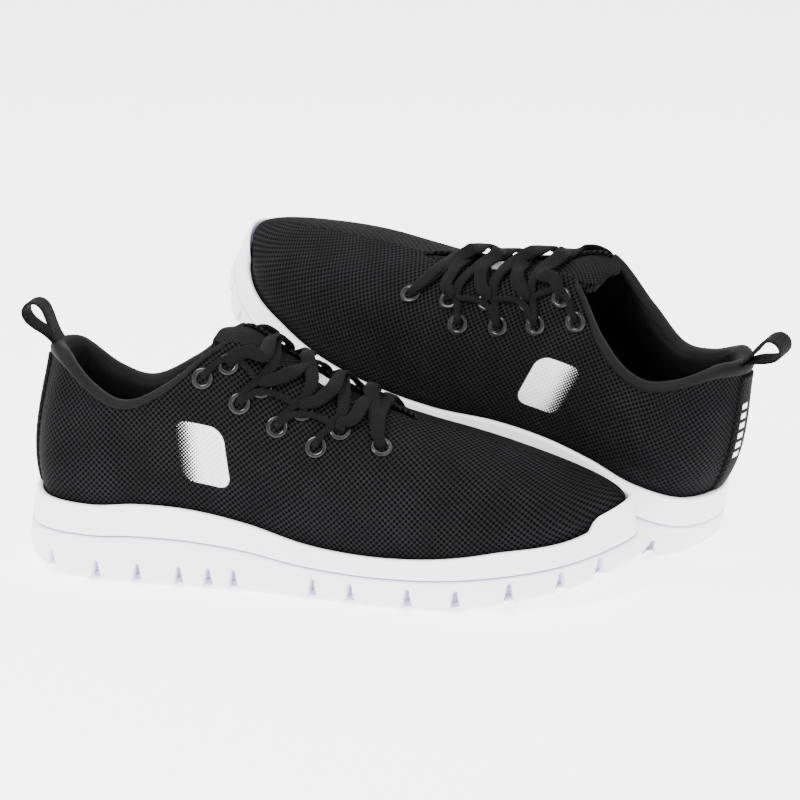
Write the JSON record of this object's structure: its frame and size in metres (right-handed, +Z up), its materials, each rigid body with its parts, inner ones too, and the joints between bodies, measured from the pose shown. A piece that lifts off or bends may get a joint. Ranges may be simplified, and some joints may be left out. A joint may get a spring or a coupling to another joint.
{
  "type": "cheer shoes",
  "caption": "Pair of low black mesh cheer shoes with padded collars, laced throats, heel pull loops and white grooved soles, one flat and one leaning toe up.",
  "frame": {"origin": "on the flat tread of the right shoe, on the floor, 125 mm in front of the back of its outline", "axes": "+X towards the right shoe's toe, +Y towards the left shoe (its medial side), +Z up"},
  "size_m": [0.3555, 0.2329, 0.1447],
  "materials": {
    "outsole_rubber": "white moulded sole, satin",
    "midsole_foam": "white foam, satin skin",
    "strobel_board": "pale needled fibre board",
    "sockliner": "dark brushed textile over foam",
    "mesh_fabric": "black knitted mesh",
    "lining_fabric": "black brushed knit over padding",
    "stiffener": "moulded fibre sheet",
    "tongue_fabric": "black mesh over padding",
    "lace_textile": "black flat braid",
    "webbing": "black woven tape",
    "eyelet_metal": "gunmetal, glossy"
  },
  "bodies": {
    "right_shoe": {"right_outsole": "outsole_rubber", "right_midsole": "midsole_foam", "right_strobel_board": "strobel_board", "right_sockliner": "sockliner", "right_upper": "mesh_fabric", "right_collar_lining": "lining_fabric", "right_heel_counter": "stiffener", "right_toe_puff": "stiffener", "right_lace": "lace_textile", "right_heel_strap": "webbing", "right_lateral_eyelet_inner_1": "eyelet_metal", "right_lateral_eyelet_inner_2": "eyelet_metal", "right_lateral_eyelet_inner_3": "eyelet_metal", "right_lateral_eyelet_inner_4": "eyelet_metal", "right_lateral_eyelet_inner_5": "eyelet_metal", "right_lateral_eyelet_outer_1": "eyelet_metal", "right_lateral_eyelet_outer_2": "eyelet_metal", "right_lateral_eyelet_outer_3": "eyelet_metal", "right_lateral_eyelet_outer_4": "eyelet_metal", "right_medial_eyelet_inner_1": "eyelet_metal", "right_medial_eyelet_inner_2": "eyelet_metal", "right_medial_eyelet_inner_3": "eyelet_metal", "right_medial_eyelet_inner_4": "eyelet_metal", "right_medial_eyelet_inner_5": "eyelet_metal", "right_medial_eyelet_outer_1": "eyelet_metal", "right_medial_eyelet_outer_2": "eyelet_metal", "right_medial_eyelet_outer_3": "eyelet_metal", "right_medial_eyelet_outer_4": "eyelet_metal"},
    "right_tongue": {"right_tongue": "tongue_fabric"},
    "right_pull_loop": {"right_pull_loop": "webbing"},
    "left_shoe": {"left_outsole": "outsole_rubber", "left_midsole": "midsole_foam", "left_strobel_board": "strobel_board", "left_sockliner": "sockliner", "left_upper": "mesh_fabric", "left_collar_lining": "lining_fabric", "left_heel_counter": "stiffener", "left_toe_puff": "stiffener", "left_lace": "lace_textile", "left_heel_strap": "webbing", "left_lateral_eyelet_inner_1": "eyelet_metal", "left_lateral_eyelet_inner_2": "eyelet_metal", "left_lateral_eyelet_inner_3": "eyelet_metal", "left_lateral_eyelet_inner_4": "eyelet_metal", "left_lateral_eyelet_inner_5": "eyelet_metal", "left_lateral_eyelet_outer_1": "eyelet_metal", "left_lateral_eyelet_outer_2": "eyelet_metal", "left_lateral_eyelet_outer_3": "eyelet_metal", "left_lateral_eyelet_outer_4": "eyelet_metal", "left_medial_eyelet_inner_1": "eyelet_metal", "left_medial_eyelet_inner_2": "eyelet_metal", "left_medial_eyelet_inner_3": "eyelet_metal", "left_medial_eyelet_inner_4": "eyelet_metal", "left_medial_eyelet_inner_5": "eyelet_metal", "left_medial_eyelet_outer_1": "eyelet_metal", "left_medial_eyelet_outer_2": "eyelet_metal", "left_medial_eyelet_outer_3": "eyelet_metal", "left_medial_eyelet_outer_4": "eyelet_metal"},
    "left_tongue": {"left_tongue": "tongue_fabric"},
    "left_pull_loop": {"left_pull_loop": "webbing"}
  },
  "joints": [
    {"name": "left_shoe_lift", "type": "slide", "parent": "right_shoe", "child": "left_shoe", "axis": [0, 0, 1], "range_m": [0, 0.2]},
    {"name": "right_tongue_hinge", "type": "hinge", "parent": "right_shoe", "child": "right_tongue", "pos_m": [0.069, 0, 0.068], "axis": [0, -1, 0], "range_deg": [0, 12]},
    {"name": "left_tongue_hinge", "type": "hinge", "parent": "left_shoe", "child": "left_tongue", "pos_m": [0.03735, 0.10541, 0.12817], "axis": [0.3585, 0.922, 0.146], "range_deg": [0, 12]},
    {"name": "right_pull_loop_hinge", "type": "hinge", "parent": "right_shoe", "child": "right_pull_loop", "pos_m": [-0.112, 0, 0.10645], "axis": [0, -1, 0], "range_deg": [-50, 60]},
    {"name": "left_pull_loop_hinge", "type": "hinge", "parent": "left_shoe", "child": "left_pull_loop", "pos_m": [0.20915, 0.04327, 0.09876], "axis": [0.3585, 0.922, 0.146], "range_deg": [-50, 60]}
  ]
}
